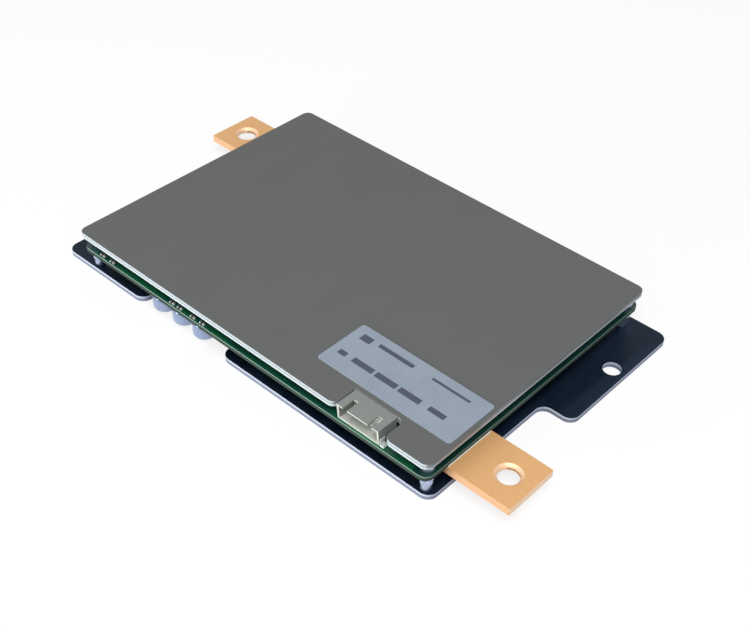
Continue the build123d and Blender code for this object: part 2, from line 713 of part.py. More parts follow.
def build():
    parts = {"base_plate": base_plate(), "main_board": main_board(), "top_plate": top_plate()}
    place_fixings(parts)
    place_busbars(parts)
    place_connector(parts)
    can = capacitor()
    for n, (x, y) in enumerate(can_places(), 1):
        parts[f"capacitor_{n}"] = place(x, y, BOARD_BOTTOM) * can
    label_x = PLATE_LENGTH - LABEL_FROM_RIGHT - LABEL_LENGTH / 2
    label_y = NOTCH_DEPTH + LABEL_BEHIND_NOTCH + LABEL_DEPTH / 2
    parts["label"] = place(label_x, label_y, PLATE_TOP) * label()
    place_power_parts(parts)
    place_control_parts(parts)
    place_balance_parts(parts)
    chip_y = BOARD_EDGE_INSET + CHIP_FROM_BOARD_EDGE + CHIP_WIDTH / 2
    small = edge_chip()
    parts["edge_chips"] = Compound([place(x, chip_y, BOARD_TOP) * small for x in CHIP_PLACES])
    return parts


os.makedirs("parts", exist_ok=True)
for name, shape in build().items():
    export_step(shape, f"parts/{name}.step")
    print(name, len(shape.solids()), round(shape.volume, 2))
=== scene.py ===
# %% [markdown]
# # A battery management board, dressed for the camera
# The board looks after a battery pack of a few cells. Two aluminium sheets hold a circuit board
# between them: the grey one on top carries the heat of the power transistors away, and the black
# one below bolts to the battery. The CAD model gives every part at its real size. Here the parts
# get their finishes, and those whose edges are soft or turned are modelled again, finely.

import math

import bmesh
import bpy
from mathutils import Matrix, Vector


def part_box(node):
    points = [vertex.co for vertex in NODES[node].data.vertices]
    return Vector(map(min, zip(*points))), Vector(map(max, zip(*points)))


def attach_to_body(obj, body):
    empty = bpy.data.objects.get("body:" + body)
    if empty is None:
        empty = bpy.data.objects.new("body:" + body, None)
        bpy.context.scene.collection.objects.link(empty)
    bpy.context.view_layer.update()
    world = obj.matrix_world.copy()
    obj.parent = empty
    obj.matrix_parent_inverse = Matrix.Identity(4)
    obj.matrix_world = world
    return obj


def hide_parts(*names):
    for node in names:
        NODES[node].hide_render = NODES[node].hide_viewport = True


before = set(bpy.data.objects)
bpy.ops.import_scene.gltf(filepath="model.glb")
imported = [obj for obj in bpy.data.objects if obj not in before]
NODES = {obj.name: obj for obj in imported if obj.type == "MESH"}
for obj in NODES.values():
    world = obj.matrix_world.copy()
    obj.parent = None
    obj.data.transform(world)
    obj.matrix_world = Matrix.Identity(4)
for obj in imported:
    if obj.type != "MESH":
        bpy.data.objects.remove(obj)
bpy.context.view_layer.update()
MM = 0.001
NEAR = 0.05 * MM
print(len(NODES), "parts are loaded")

# %% [markdown]
# ## Helpers
# Edit mode works on whatever is selected, so each step first selects nothing, and then picks the
# faces or edges that it wants by where they are or which way they face. A finished piece keeps its
# object at the origin with its place in its mesh, because the patterns of the finishes are measured
# from the object's origin.


# %% Selecting faces, edges and whole pieces
def select_only(*pieces):
    """Object mode with only these pieces selected. The first one is active."""
    if bpy.context.mode != "OBJECT":
        bpy.ops.object.mode_set(mode="OBJECT")
    bpy.ops.object.select_all(action="DESELECT")
    for piece in reversed(pieces):
        piece.select_set(True)
        bpy.context.view_layer.objects.active = piece


def start_edit(piece):
    """Edit mode on this piece alone."""
    select_only(piece)
    bpy.ops.object.mode_set(mode="EDIT")


def centre_of(item):
    """Middle of a face, an edge or a vertex."""
    corners = getattr(item, "verts", None) or [item]
    return sum((v.co for v in corners), Vector()) / len(corners)


def pick(kind, test):
    """Selects only the faces, edges or vertices that pass the test. Says how many."""
    bpy.ops.mesh.select_mode(type=kind)
    bpy.ops.mesh.select_all(action="DESELECT")
    mesh = bmesh.from_edit_mesh(bpy.context.edit_object.data)
    items = {"FACE": mesh.faces, "EDGE": mesh.edges, "VERT": mesh.verts}[kind]
    found = [item for item in items if test(item)]
    for item in found:
        item.select_set(True)
    mesh.select_flush_mode()
    bmesh.update_edit_mesh(bpy.context.edit_object.data)
    return len(found)


# %% Making and finishing pieces
def modify(piece, kind, **settings):
    """Adds a modifier with its settings and applies it."""
    select_only(piece)
    modifier = piece.modifiers.new(kind.lower(), kind)
    for key, value in settings.items():
        setattr(modifier, key, value)
    bpy.ops.object.modifier_apply(modifier=modifier.name)


def primitive(kind, name, place, **settings):
    """Adds a primitive at a place, with nothing else selected, and names it."""
    select_only()
    getattr(bpy.ops.mesh, f"primitive_{kind}_add")(location=place, **settings)
    piece = bpy.context.object
    piece.name = name
    piece.data.name = name
    return piece


def settle(piece):
    """Moves the object's place, turn and size into its mesh."""
    select_only(piece)
    bpy.ops.object.transform_apply(location=True, rotation=True, scale=True)


SMOOTH_BELOW = math.radians(32)


def finish_piece(piece, slot, *nodes):
    """Shades it, and says what it rides on and which parts it stands for. Its slot is not used.

    The weighted normals keep a large flat face flat where small bevels round its edges.
    """
    settle(piece)
    bpy.ops.object.shade_smooth_by_angle(angle=SMOOTH_BELOW)
    modify(piece, "WEIGHTED_NORMAL", keep_sharp=True, weight=100)
    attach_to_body(piece, "root")
    if nodes:
        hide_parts(*nodes)
    print(piece.name, len(piece.data.polygons), "faces")


# %% [markdown]
# ## Finishes
# Each finish is a small network of nodes. Colours are written as the sRGB values seen on a screen,
# and one function turns them into the linear values that the renderer adds up. Patterns are sized
# from real lengths: a noise with a scale of 1 / d has grains about d metres across.


# %% Colours and nodes
def colour(text):
    """Linear RGBA from an sRGB hex value."""
    values = [int(text[i : i + 2], 16) / 255 for i in (0, 2, 4)]
    return [v / 12.92 if v <= 0.04045 else ((v + 0.055) / 1.055) ** 2.4 for v in values] + [1.0]


def node(tree, kind, inputs=None, **settings):
    """Adds a node. An input takes a value, or another node's output to be linked to."""
    made = tree.nodes.new("ShaderNode" + kind)
    for key, value in settings.items():
        setattr(made, key, value)
    for key, value in (inputs or {}).items():
        if isinstance(value, bpy.types.NodeSocket):
            tree.links.new(value, made.inputs[key])
        else:
            made.inputs[key].default_value = value
    return made


def new_finish(name, **values):
    """A material with one Principled shader. Returns the material, its tree and the shader."""
    material = bpy.data.materials.new(name)
    material.use_nodes = True
    tree = material.node_tree
    tree.nodes.clear()
    values = {key.replace("_", " "): value for key, value in values.items()}
    shader = node(tree, "BsdfPrincipled", values)
    node(tree, "OutputMaterial", {"Surface": shader.outputs["BSDF"]})
    return material, tree, shader


def attach(tree, shader, **outputs):
    """Links outputs to the shader's inputs."""
    for key, value in outputs.items():
        tree.links.new(value, shader.inputs[key.replace("_", " ")])


# %% Patterns
NOISE_LOW = 0.3
NOISE_HIGH = 0.7
NOISE_ROUGHNESS = 0.55


def grain(tree, size, stretch=(1, 1, 1), detail=3.0):
    """Noise with grains about size metres across, longer along an axis whose stretch is below 1."""
    place = node(tree, "TexCoord").outputs["Object"]
    turned = node(tree, "Mapping", {"Vector": place, "Scale": stretch})
    inputs = {"Vector": turned.outputs["Vector"], "Scale": 1 / size, "Detail": detail}
    return node(tree, "TexNoise", inputs | {"Roughness": NOISE_ROUGHNESS}).outputs["Fac"]


def spread(tree, value, low, high):
    """Turns the range where most of a noise lies into low to high."""
    ends = {"From Min": NOISE_LOW, "From Max": NOISE_HIGH, "To Min": low, "To Max": high}
    return node(tree, "MapRange", {"Value": value} | ends).outputs["Result"]


def tint(tree, share, first, second):
    """Mixes two colours by a share."""
    mixed = node(tree, "Mix", {"Factor": share, "A": first, "B": second}, data_type="RGBA")
    return mixed.outputs["Result"]


def blend(tree, share, first, second):
    """Mixes two numbers by a share."""
    mixed = node(tree, "Mix", {"Factor": share, "A": first, "B": second}, data_type="FLOAT")
    return mixed.outputs["Result"]


def bump(tree, height, distance):
    """Small relief of this height in metres."""
    return node(tree, "Bump", {"Height": height, "Distance": distance}).outputs["Normal"]


# %% Where a spot is and which way it faces
def facing(tree, axis, limit):
    """1 where the surface looks along this axis, either way, more than the limit says, else 0."""
    normal = node(tree, "NewGeometry").outputs["True Normal"]
    along = node(tree, "SeparateXYZ", {"Vector": normal}).outputs[axis]
    size = node(tree, "Math", {0: along}, operation="ABSOLUTE").outputs["Value"]
    return node(tree, "Math", {0: size, 1: limit}, operation="GREATER_THAN").outputs["Value"]


def place_along(tree, axis):
    """The spot's place along an axis, in metres from the origin."""
    place = node(tree, "TexCoord").outputs["Object"]
    return node(tree, "SeparateXYZ", {"Vector": place}).outputs[axis]


def height_share(tree, part):
    """0 at the underside of a part, 1 at its top."""
    low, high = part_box(part)
    ends = {"Value": place_along(tree, "Z"), "From Min": low.z, "From Max": high.z}
    return node(tree, "MapRange", ends).outputs["Result"]


def stripes(tree, share, stops):
    """Colours along a share, given as (position, colour) pairs."""
    bands = node(tree, "ValToRGB", {"Fac": share})
    ramp = bands.color_ramp
    while len(ramp.elements) < len(stops):
        ramp.elements.new(0.5)
    for element, (position, text) in zip(ramp.elements, stops):
        element.position = position
        element.color = colour(text)
    return bands.outputs["Color"]


print("helpers for pieces and finishes are ready")

# %% [markdown]
# ## Coated aluminium sheet
# Both plates are punched from coated sheet. The flat faces keep their coat, grey and matte on top,
# black and glossy below, and the punched edges show bare metal: a smooth band where the punch cut,
# a thin dark line, and a torn band under it. The direction that a face looks in tells coat and edge
# apart, and the height above the sheet's underside tells the bands. The edges at the two ends take
# colours of their own, and on the grey sheet these are darker: painted shade. Slow streaks 5 mm wide
# of a lighter coat colour are a painted reflection, which shows most on the black sheet, and clouds
# some 14 mm across vary its gloss. The grain of anodising is finer than the 0.45 mm drawn here,
# which is as fine as shows. The punch leaves upright streaks.

# %% Sheet finish
FLAT_LIMIT = 0.6  # how far a face may tip and still count as flat: 1 is level, 0 is upright
CUT_LINE = 0.5  # height of the dark line, as a share of the thickness
CUT_LINE_HALF = 0.14
COAT_GRAIN = 0.45 * MM
COAT_CLOUD = 14.0 * MM
CLOUD_STRETCH = (1, 0.35, 1)
# Width of the streaks of painted reflection in the coat.
SHEEN_STREAK = 5.0 * MM
SHEEN_STRETCH = (1, 0.12, 1)
EDGE_STREAK = 0.3 * MM
EDGE_STRETCH = (1, 1, 0.2)
EDGE_RELIEF = 0.004 * MM
EDGE_METAL = 0.12
EDGE_ROUGHNESS = 0.4


def sheet_finish(name, part, coats, bands, side_bands, roughness, cloud, gloss):
    """Coated flat faces and bare cut edges for a sheet that lies flat.

    Coats are three close colours, the third laid in slow streaks as a painted reflection, bands the
    torn, line and smooth colours of the front and rear edges, side_bands those of the two ends, which
    on the grey sheet are darker as painted shade, cloud how much the roughness rises from place to
    place, and gloss the coat's specular level and tint.
    """
    amount, hue = gloss
    material, tree, shader = new_finish(name, Specular_IOR_Level=amount, Specular_Tint=colour(hue))
    flat = facing(tree, "Z", FLAT_LIMIT)
    height = height_share(tree, part)
    starts = (0.0, CUT_LINE - CUT_LINE_HALF, CUT_LINE, CUT_LINE + CUT_LINE_HALF)
    long_side, short_side = (
        stripes(tree, height, tuple(zip(starts, (torn, torn, line, smooth))))
        for torn, line, smooth in (bands, side_bands)
    )
    # The ends take side_bands, which on the grey sheet are darker: painted shade.
    edge = tint(tree, facing(tree, "X", FLAT_LIMIT), long_side, short_side)
    worn = spread(tree, grain(tree, COAT_GRAIN), 0.0, 1.0)
    coat = tint(tree, worn, colour(coats[0]), colour(coats[1]))
    # A lighter coat colour in slow streaks: a painted reflection.
    sheen = grain(tree, SHEEN_STREAK, SHEEN_STRETCH, 2.0)
    coat = tint(tree, spread(tree, sheen, -0.2, 0.8), coat, colour(coats[2]))
    clouds = grain(tree, COAT_CLOUD, CLOUD_STRETCH, 1.0)
    clouded = spread(tree, clouds, roughness, roughness + cloud)
    streaks = grain(tree, EDGE_STREAK, EDGE_STRETCH)
    attach(
        tree,
        shader,
        Base_Color=tint(tree, flat, edge, coat),
        Metallic=blend(tree, flat, EDGE_METAL, 0.0),
        Roughness=blend(tree, flat, EDGE_ROUGHNESS, clouded),
        Normal=bump(tree, streaks, EDGE_RELIEF),
    )
    return material


GREY_SHEET = sheet_finish(
    "matte_grey_anodised_aluminium",
    "top_plate",
    coats=("666867", "696B6A", "686A69"),
    bands=("C8D1D5", "667076", "C2CDD3"),
    # Darker than the front and rear bands: painted shade on the ends.
    side_bands=("B9C0C8", "7A7E87", "84888F"),
    roughness=0.7,
    cloud=0.1,
    gloss=(0.2, "FFFFFF"),
)
BLACK_SHEET = sheet_finish(
    "glossy_black_anodised_aluminium",
    "base_plate",
    # The third colour, lighter, is laid in streaks as a painted reflection.
    coats=("0C1823", "101E2D", "1D293A"),
    bands=("80889A", "838B9E", "C2C9D6"),
    side_bands=("8E94AC", "7D849C", "BEC4D6"),
    roughness=0.2,
    cloud=0.25,
    gloss=(0.16, "9DBBEA"),
)
print(GREY_SHEET.name, "and", BLACK_SHEET.name)

# %% [markdown]
# ## Circuit board
# The board is glass cloth in epoxy under a green lacquer, which lies a little lighter over the
# copper tracks. A brick pattern, 3 mm by 0.6 mm, stands for the tracks: real ones are finer, but
# would be lost at this distance. In patches some 12 mm across the copper is poured solid, and the
# green is brighter there. Near the two ends the lacquer is painted darker: painted shade. The routed
# edge is dull cloth and resin with a pale rim under the lacquer, and is painted darker towards its
# foot: painted shade.

# %% Board finish
TRACK_LENGTH = 3.0 * MM
TRACK_PITCH = 0.6 * MM
TRACK_GAP = 0.12 * MM
# Distance from the middle past which the lacquer is painted darker as painted shade.
SHADED_ENDS_FROM = 69.0 * MM
COPPER_PATCH = 12.0 * MM
GLASS_WEAVE = 0.5 * MM
# Dark at the foot of the routed edge: painted shade. The pale rim lies under the lacquer.
ROUTED_EDGE = ((0.0, "101E1A"), (0.45, "14261F"), (0.78, "2A4338"), (0.87, "93AC9E"))
LACQUER_ROUGHNESS = 0.3
ROUTED_ROUGHNESS = 0.8
LEVEL = 0.9  # a face whose normal passes this looks straight along the axis


def board_finish():
    """Green solder mask with tracks under it on the faces, dull glass and epoxy at the routed edge."""
    material, tree, shader = new_finish("solder_mask_on_glass_epoxy")
    tracks = node(
        tree,
        "TexBrick",
        {
            "Vector": node(tree, "TexCoord").outputs["Object"],
            "Color1": colour("1C6350"),
            "Color2": colour("185946"),
            "Mortar": colour("124A39"),
            "Scale": 1.0,
            "Brick Width": TRACK_LENGTH,
            "Row Height": TRACK_PITCH,
            "Mortar Size": TRACK_GAP,
        },
    )
    # Far from the middle the lacquer is painted darker: painted shade.
    away = node(tree, "Math", {0: place_along(tree, "X")}, operation="ABSOLUTE").outputs["Value"]
    bare = node(tree, "Math", {0: away, 1: SHADED_ENDS_FROM}, operation="GREATER_THAN").outputs["Value"]
    patches = spread(tree, grain(tree, COPPER_PATCH, detail=1.0), -0.3, 0.7)
    lacquer = tint(tree, patches, tracks.outputs["Color"], colour("1B7043"))
    lacquer = tint(tree, bare, lacquer, colour("134038"))
    weave = grain(tree, GLASS_WEAVE, (1, 1, 4))
    routed = stripes(tree, height_share(tree, "main_board"), ROUTED_EDGE)
    cut = tint(tree, spread(tree, weave, 0.0, 0.2), routed, colour("4A6A5A"))
    flat = facing(tree, "Z", LEVEL)
    attach(
        tree,
        shader,
        Base_Color=tint(tree, flat, cut, lacquer),
        Roughness=blend(tree, flat, ROUTED_ROUGHNESS, LACQUER_ROUGHNESS),
    )
    return material


BOARD = board_finish()
print(BOARD.name)

# %% [markdown]
# ## Copper of the bars
# The bars are sheared from rolled copper: the rolled faces have a dull skin, and the sheared sides
# and countersinks are fresh metal, so they are paler. The ends are painted palest and the sides that
# face front and back darker: painted light on the ends, and less of it on the sides that the front
# lamp lights.
# Faint marks of the rolls run along the bar and stretch the highlights. Real ones are finer than
# the half millimetre here, which is as fine as shows.

# %% Rolled copper
ROLL_MARKS = 0.5 * MM
ROLL_STRETCH = (0.12, 1, 1)
ROLL_RELIEF = 0.003 * MM
END_LIMIT = 0.7
COUNTERSINK_LIMIT = 0.5
SKIN_METALLIC = 0.15
CUT_METALLIC = 0.4


def copper_finish():
    """Dull rolled faces, bright cut sides."""
    material, tree, shader = new_finish("rolled_copper_bar", Roughness=0.5)
    flat = facing(tree, "Z", LEVEL)
    rolled = grain(tree, ROLL_MARKS, ROLL_STRETCH)
    skin = tint(tree, spread(tree, rolled, 0, 1), colour("E6B37B"), colour("E2AE74"))
    # Ends painted palest, front and back sides darker: painted light.
    cut = tint(tree, facing(tree, "X", END_LIMIT), colour("DEAE85"), colour("FFDDB8"))
    cut = tint(tree, facing(tree, "Z", COUNTERSINK_LIMIT), cut, colour("F2CBA6"))
    attach(
        tree,
        shader,
        Base_Color=tint(tree, flat, cut, skin),
        Metallic=blend(tree, flat, CUT_METALLIC, SKIN_METALLIC),
        Normal=bump(tree, rolled, ROLL_RELIEF),
    )
    return material


COPPER = copper_finish()
print(COPPER.name)

# %% [markdown]
# ## Nylon of the header
# The header is moulded nylon, which lets a little light in, so its thin walls glow softly. Its lips,
# the faces that look along the plug's path, are smoother and painted paler: a painted highlight. The
# floor of the hollow is painted paler too: painted light in the recess. The fine grain of the rest
# comes from the spark-eroded mould.

# %% Moulded nylon
MOULD_TEXTURE = 0.4 * MM
MOULD_RELIEF = 0.008 * MM
LIP_LIMIT = 0.8
BELOW_ROOF = 0.9  # share of the height under which a level face belongs to the hollow
SKIN_ROUGHNESS = 0.5
LIP_ROUGHNESS = 0.3


def nylon_finish():
    """Pale moulded nylon, smoother on the faces that look along the plug's path."""
    material, tree, shader = new_finish(
        "moulded_nylon",
        Specular_IOR_Level=0.4,
        Subsurface_Weight=0.35,
        Subsurface_Radius=(1.0, 1.0, 0.9),
        Subsurface_Scale=0.8 * MM,
    )
    # The lips are painted paler: a painted highlight.
    highlighted_lips = facing(tree, "Y", LIP_LIMIT)
    fine = grain(tree, MOULD_TEXTURE)
    skin = tint(tree, spread(tree, fine, 0, 1), colour("8C8F8C"), colour("868A87"))
    share = height_share(tree, "connector_housing")
    low_down = node(tree, "Math", {0: share, 1: BELOW_ROOF}, operation="LESS_THAN").outputs["Value"]
    level = facing(tree, "Z", LIP_LIMIT)
    hollow = node(tree, "Math", {0: low_down, 1: level}, operation="MULTIPLY").outputs["Value"]
    # The floor of the hollow is painted paler: painted light in the recess.
    skin = tint(tree, hollow, skin, colour("C0C3BC"))
    attach(
        tree,
        shader,
        Base_Color=tint(tree, highlighted_lips, skin, colour("C6CAC1")),
        Roughness=blend(tree, highlighted_lips, SKIN_ROUGHNESS, LIP_ROUGHNESS),
        Normal=bump(tree, fine, MOULD_RELIEF),
    )
    return material


NYLON = nylon_finish()
print(NYLON.name)

# %% [markdown]
# ## The other finishes
# The remaining finishes are two close colours mixed by a grain. The comment over each says what the
# real surface gives the eye. Most real grains are finer than these, which are drawn at 0.3 to
# 0.6 mm, as fine as shows in a picture of the whole board.


# %% Plain finishes
def plain_finish(name, colours, size, roughness, metallic=0.0, stretch=(1, 1, 1), relief=0.0):
    """A finish of two close colours, mixed by a grain, with a little relief."""
    material, tree, shader = new_finish(name, Roughness=roughness, Metallic=metallic)
    fine = grain(tree, size, stretch)
    first, second = (colour(text) for text in colours)
    attach(tree, shader, Base_Color=tint(tree, spread(tree, fine, 0, 1), first, second))
    if relief:
        attach(tree, shader, Normal=bump(tree, fine, relief))
    return material


TURNING = (1, 1, 0.1)  # rings round an upright axis, long in X and Y, short in Z
ALONG_X = (0.2, 1, 1)
FINISHES = {
    "grey_sheet": GREY_SHEET,
    "black_sheet": BLACK_SHEET,
    "board": BOARD,
    "copper": COPPER,
    "header": NYLON,
    # Nickel on turned brass: a cool mirror, blurred by the tool's rings.
    "turned_metal": plain_finish("nickelled_brass", ("B6C2DA", "A4B1CC"), 0.5 * MM, 0.28, 0.9, TURNING),
    # Deep drawn aluminium: bluish, with soft wide highlights down the can.
    "can": plain_finish("drawn_aluminium_can", ("9DABC8", "92A1BF"), 0.6 * MM, 0.24, 0.7, TURNING),
    # Tin: nearly white, dulled by its crystals.
    "tin": plain_finish("tin_plate", ("E4E7E6", "D2D6D5"), 0.4 * MM, 0.32, 0.35),
    # Coated paper: matt and even, with a slow drift of tone where it was rolled on.
    "sticker": plain_finish("coated_paper", ("97A3B0", "8F9BAB"), 9.0 * MM, 0.55),
    # Epoxy moulded in an eroded tool: black, with a fine sparkle.
    "black_mould": plain_finish(
        "moulded_epoxy", ("17181A", "1E1F21"), 0.3 * MM, 0.55, relief=0.01 * MM
    ),
    # Silicone filled with ceramic powder: grey and quite dull.
    "silicone": plain_finish("filled_silicone", ("8C9096", "82868C"), 0.5 * MM, 0.7),
    # Rolled resistance alloy: a warm grey sheen, streaked along the strip.
    "sense_alloy": plain_finish(
        "resistance_alloy", ("9A8D80", "8C8074"), 0.4 * MM, 0.4, 0.9, ALONG_X
    ),
    # Drawn nickel: the brightest mirror on the board.
    "crystal_case": plain_finish("drawn_nickel_case", ("CFCFCC", "BDBDBA"), 0.6 * MM, 0.2, 0.95),
    # Ferrite pressed from powder: dark grey, dull and slightly rough.
    "ferrite": plain_finish("pressed_ferrite", ("303134", "3A3B3E"), 0.3 * MM, 0.7, relief=0.02 * MM),
    # Fired ceramic: brown, with a faint gloss.
    "chip_ceramic": plain_finish("fired_ceramic", ("3B362F", "48423A"), 0.3 * MM, 0.5),
}
print(len(FINISHES), "finishes")

# %% [markdown]
# ## Finishes for the CAD parts
# Every part takes its finish by the start of its name, so that the numbered ones share a line.

# %% Finishes by part
SLOT_PARTS = {
    "grey_sheet": ("top_plate",),
    "black_sheet": ("base_plate",),
    "board": ("main_board",),
    "copper": ("battery_busbar", "pack_busbar"),
    "turned_metal": ("lower_standoff", "upper_spacer", "base_screws"),
    "can": ("capacitor",),
    "header": ("connector_housing",),
    "tin": ("connector_pins", "connector_tabs"),
    "sticker": ("label",),
    "black_mould": (
        "discharge_mosfet",
        "charge_mosfet",
        "controller",
        "cell_monitor",
        "supply_regulator",
        "balance_switch",
    ),
    "silicone": ("discharge_thermal_pad", "charge_thermal_pad"),
    "sense_alloy": ("sense_resistor",),
    "crystal_case": ("clock_crystal",),
    "ferrite": ("balance_inductor",),
    "chip_ceramic": ("edge_chips",),
}
for part, part_object in NODES.items():
    slot = next(slot for slot, starts in SLOT_PARTS.items() if part.startswith(starts))
    part_object.data.materials.clear()
    part_object.data.materials.append(FINISHES[slot])
print(len(NODES), "parts have a finish")

# %% [markdown]
# ## Parts with plated terminals
# A chip is a black moulding with tinned leads, and a power resistor is an alloy strip between tinned
# ends. Each of these is one part here, so its material has to tell body and terminals apart: what
# lies further from the part's middle than the body reaches is metal.

# %% Bodies and their terminals
BODY_MM = {
    "discharge_mosfet": (9.9, 9.6),
    "charge_mosfet": (9.9, 9.6),
    "controller": (7.0, 7.0),
    "cell_monitor": (6.5, 4.4),
    "supply_regulator": (6.5, 3.5),
    "balance_switch": (4.9, 3.9),
    "balance_inductor": (6.0, 6.0),
    "sense_resistor": (4.0, 3.2),
}
MOULDED_BODY = ("1B1C1E", 0.55)
OTHER_BODIES = {
    "balance_inductor": ("303134", 0.7),
    "sense_resistor": ("94877A", 0.45),
}
BODY_GRAIN = 0.3 * MM
BODY_RELIEF = 0.008 * MM
REACH_PAST = 0.02 * MM
TERMINAL_ROUGHNESS = 0.3


def leaded_finish(part, body, text, roughness):
    """Body colour within the body's plan, tin outside it."""
    low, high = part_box(part)
    material, tree, shader = new_finish("moulding_with_tinned_leads_" + part)
    away = node(
        tree,
        "VectorMath",
        {0: node(tree, "TexCoord").outputs["Object"], 1: (low + high) / 2},
        operation="SUBTRACT",
    )
    axes = node(tree, "SeparateXYZ", {"Vector": away.outputs["Vector"]}).outputs
    past = []
    for axis, length in zip("XY", body):
        far = node(tree, "Math", {0: axes[axis]}, operation="ABSOLUTE").outputs["Value"]
        limit = length * MM / 2 + REACH_PAST
        past.append(node(tree, "Math", {0: far, 1: limit}, operation="GREATER_THAN").outputs["Value"])
    metal = node(tree, "Math", {0: past[0], 1: past[1]}, operation="MAXIMUM").outputs["Value"]
    fine = grain(tree, BODY_GRAIN)
    darker = tint(tree, spread(tree, fine, 0.0, 0.3), colour(text), colour("000000"))
    attach(
        tree,
        shader,
        Base_Color=tint(tree, metal, darker, colour("DADCDA")),
        Metallic=metal,
        Roughness=blend(tree, metal, roughness, TERMINAL_ROUGHNESS),
        Normal=bump(tree, fine, BODY_RELIEF),
    )
    return material


for start, body in BODY_MM.items():
    look = OTHER_BODIES.get(start, MOULDED_BODY)
    for part in [name for name in NODES if name.startswith(start)]:
        NODES[part].data.materials[0] = leaded_finish(part, body, *look)
    print(start, "got bodies and terminals")

# %% [markdown]
# ## More helpers for shaping
# Turned pieces grow from a ring of points, level by level, each level extruded and scaled to the
# radius there. Holes and slots are taken out with a cutter, as a mill would. A part that repeats is
# shaped once, and then copied, each copy with its own mesh.

# %% Turning, cutting, copying and joining
TURNED_SIDES = 64


def turned(name, place, levels):
    """A turned piece with closed ends. Levels are (radius, height above place), from the bottom up."""
    radius, height = levels[0]
    foot = Vector(place) + Vector((0, 0, height))
    piece = primitive("circle", name, foot, vertices=TURNED_SIDES, radius=radius, fill_type="NGON")
    start_edit(piece)
    bpy.ops.mesh.select_all(action="SELECT")
    for new_radius, new_height in levels[1:]:
        bpy.ops.mesh.extrude_region_move(TRANSFORM_OT_translate={"value": (0, 0, new_height - height)})
        if new_radius != radius:
            share = new_radius / radius
            middle = Vector(place) + Vector((0, 0, new_height))
            bpy.ops.transform.resize(value=(share, share, 1), center_override=middle)
        radius, height = new_radius, new_height
    bpy.ops.mesh.select_all(action="SELECT")
    bpy.ops.mesh.normals_make_consistent(inside=False)
    settle(piece)
    return piece


def block(name, low, high):
    """A box between two corners, its place in its mesh."""
    low, high = Vector(low), Vector(high)
    piece = primitive("cube", name, (low + high) / 2, size=1)
    piece.scale = high - low
    settle(piece)
    return piece


def cut_away(piece, cutter):
    """Takes the cutter's shape out of the piece, and removes the cutter."""
    modify(piece, "BOOLEAN", operation="DIFFERENCE", object=cutter, solver="EXACT")
    bpy.data.objects.remove(cutter)


def copy_of(piece, name, shift, turn=0.0):
    """A copy with its own mesh, turned about the origin's Z and then shifted."""
    select_only(piece)
    bpy.ops.object.duplicate(linked=False)
    made = bpy.context.object
    made.name = name
    made.data.name = name
    made.rotation_euler.z = turn
    made.location = shift
    settle(made)
    return made


def join(pieces):
    """Makes one piece of several, named for the first."""
    select_only(*pieces)
    bpy.ops.object.join()
    return pieces[0]


def soften(piece, width, segments=2, angle=40):
    """Rounds every edge that is sharper than the angle."""
    limit = math.radians(angle)
    modify(piece, "BEVEL", width=width, segments=segments, limit_method="ANGLE", angle_limit=limit)


def paint(piece, slot):
    """Gives the piece a finish."""
    piece.data.materials.append(FINISHES[slot])


print("turned pieces have", TURNED_SIDES, "sides")

# %% [markdown]
# ## Capacitors
# A radial capacitor is a drawn can, rolled in near its open end to grip the rubber seal. The can
# hangs upside down, so the closed end with its soft rim is lowest. Two shallow scores cross there,
# where the can would open if it ever boiled.

# %% Outline of a can
RIM_RADIUS = 1.9 * MM
RIM_STEPS = 8
RIM_TO_DISH = 0.3 * MM
GROOVE_FROM_TOP = 1.5 * MM
GROOVE_HALF = 0.5 * MM
GROOVE_DEPTH = 0.45 * MM
GROOVE_STEPS = 4  # on each side of its deepest ring
SEAL_HEIGHT = 0.4 * MM
SEAL_RADIUS = 3.1 * MM
SHOULDER = 0.35 * MM
SHOULDER_STEPS = 3
BOTTOM_DISH = 0.12 * MM
SCORE_LENGTH = 3.0 * MM
SCORE_WIDTH = 0.3 * MM
SCORE_DEPTH = 0.25 * MM


def can_levels(length, radius):
    """The can's outline from its closed end to the seal."""
    top = length - SEAL_HEIGHT
    groove = top - GROOVE_FROM_TOP
    steps = [step / RIM_STEPS * math.pi / 2 for step in range(RIM_STEPS + 1)]
    rim = [(radius - RIM_RADIUS * (1 - math.sin(a)), RIM_RADIUS * (1 - math.cos(a))) for a in steps]
    along_dip = [step / GROOVE_STEPS for step in range(-GROOVE_STEPS, GROOVE_STEPS + 1)]
    dip = [(along, math.cos(along * math.pi / 2)) for along in along_dip]
    rolled = [(radius - GROOVE_DEPTH * depth, groove + GROOVE_HALF * along) for along, depth in dip]
    turns = [step / SHOULDER_STEPS * math.pi / 2 for step in range(SHOULDER_STEPS + 1)]
    shoulder = [
        (radius - SHOULDER * (1 - math.cos(a)), top - SHOULDER * (1 - math.sin(a))) for a in turns
    ]
    inside = [(radius - RIM_RADIUS - RIM_TO_DISH, BOTTOM_DISH)]
    return inside + rim + rolled + shoulder + [(SEAL_RADIUS, top), (SEAL_RADIUS, length)]


low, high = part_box("capacitor_1")
levels = can_levels(high.z - low.z, (high.x - low.x) / 2)
print(len(levels), "levels from the closed end to the seal")

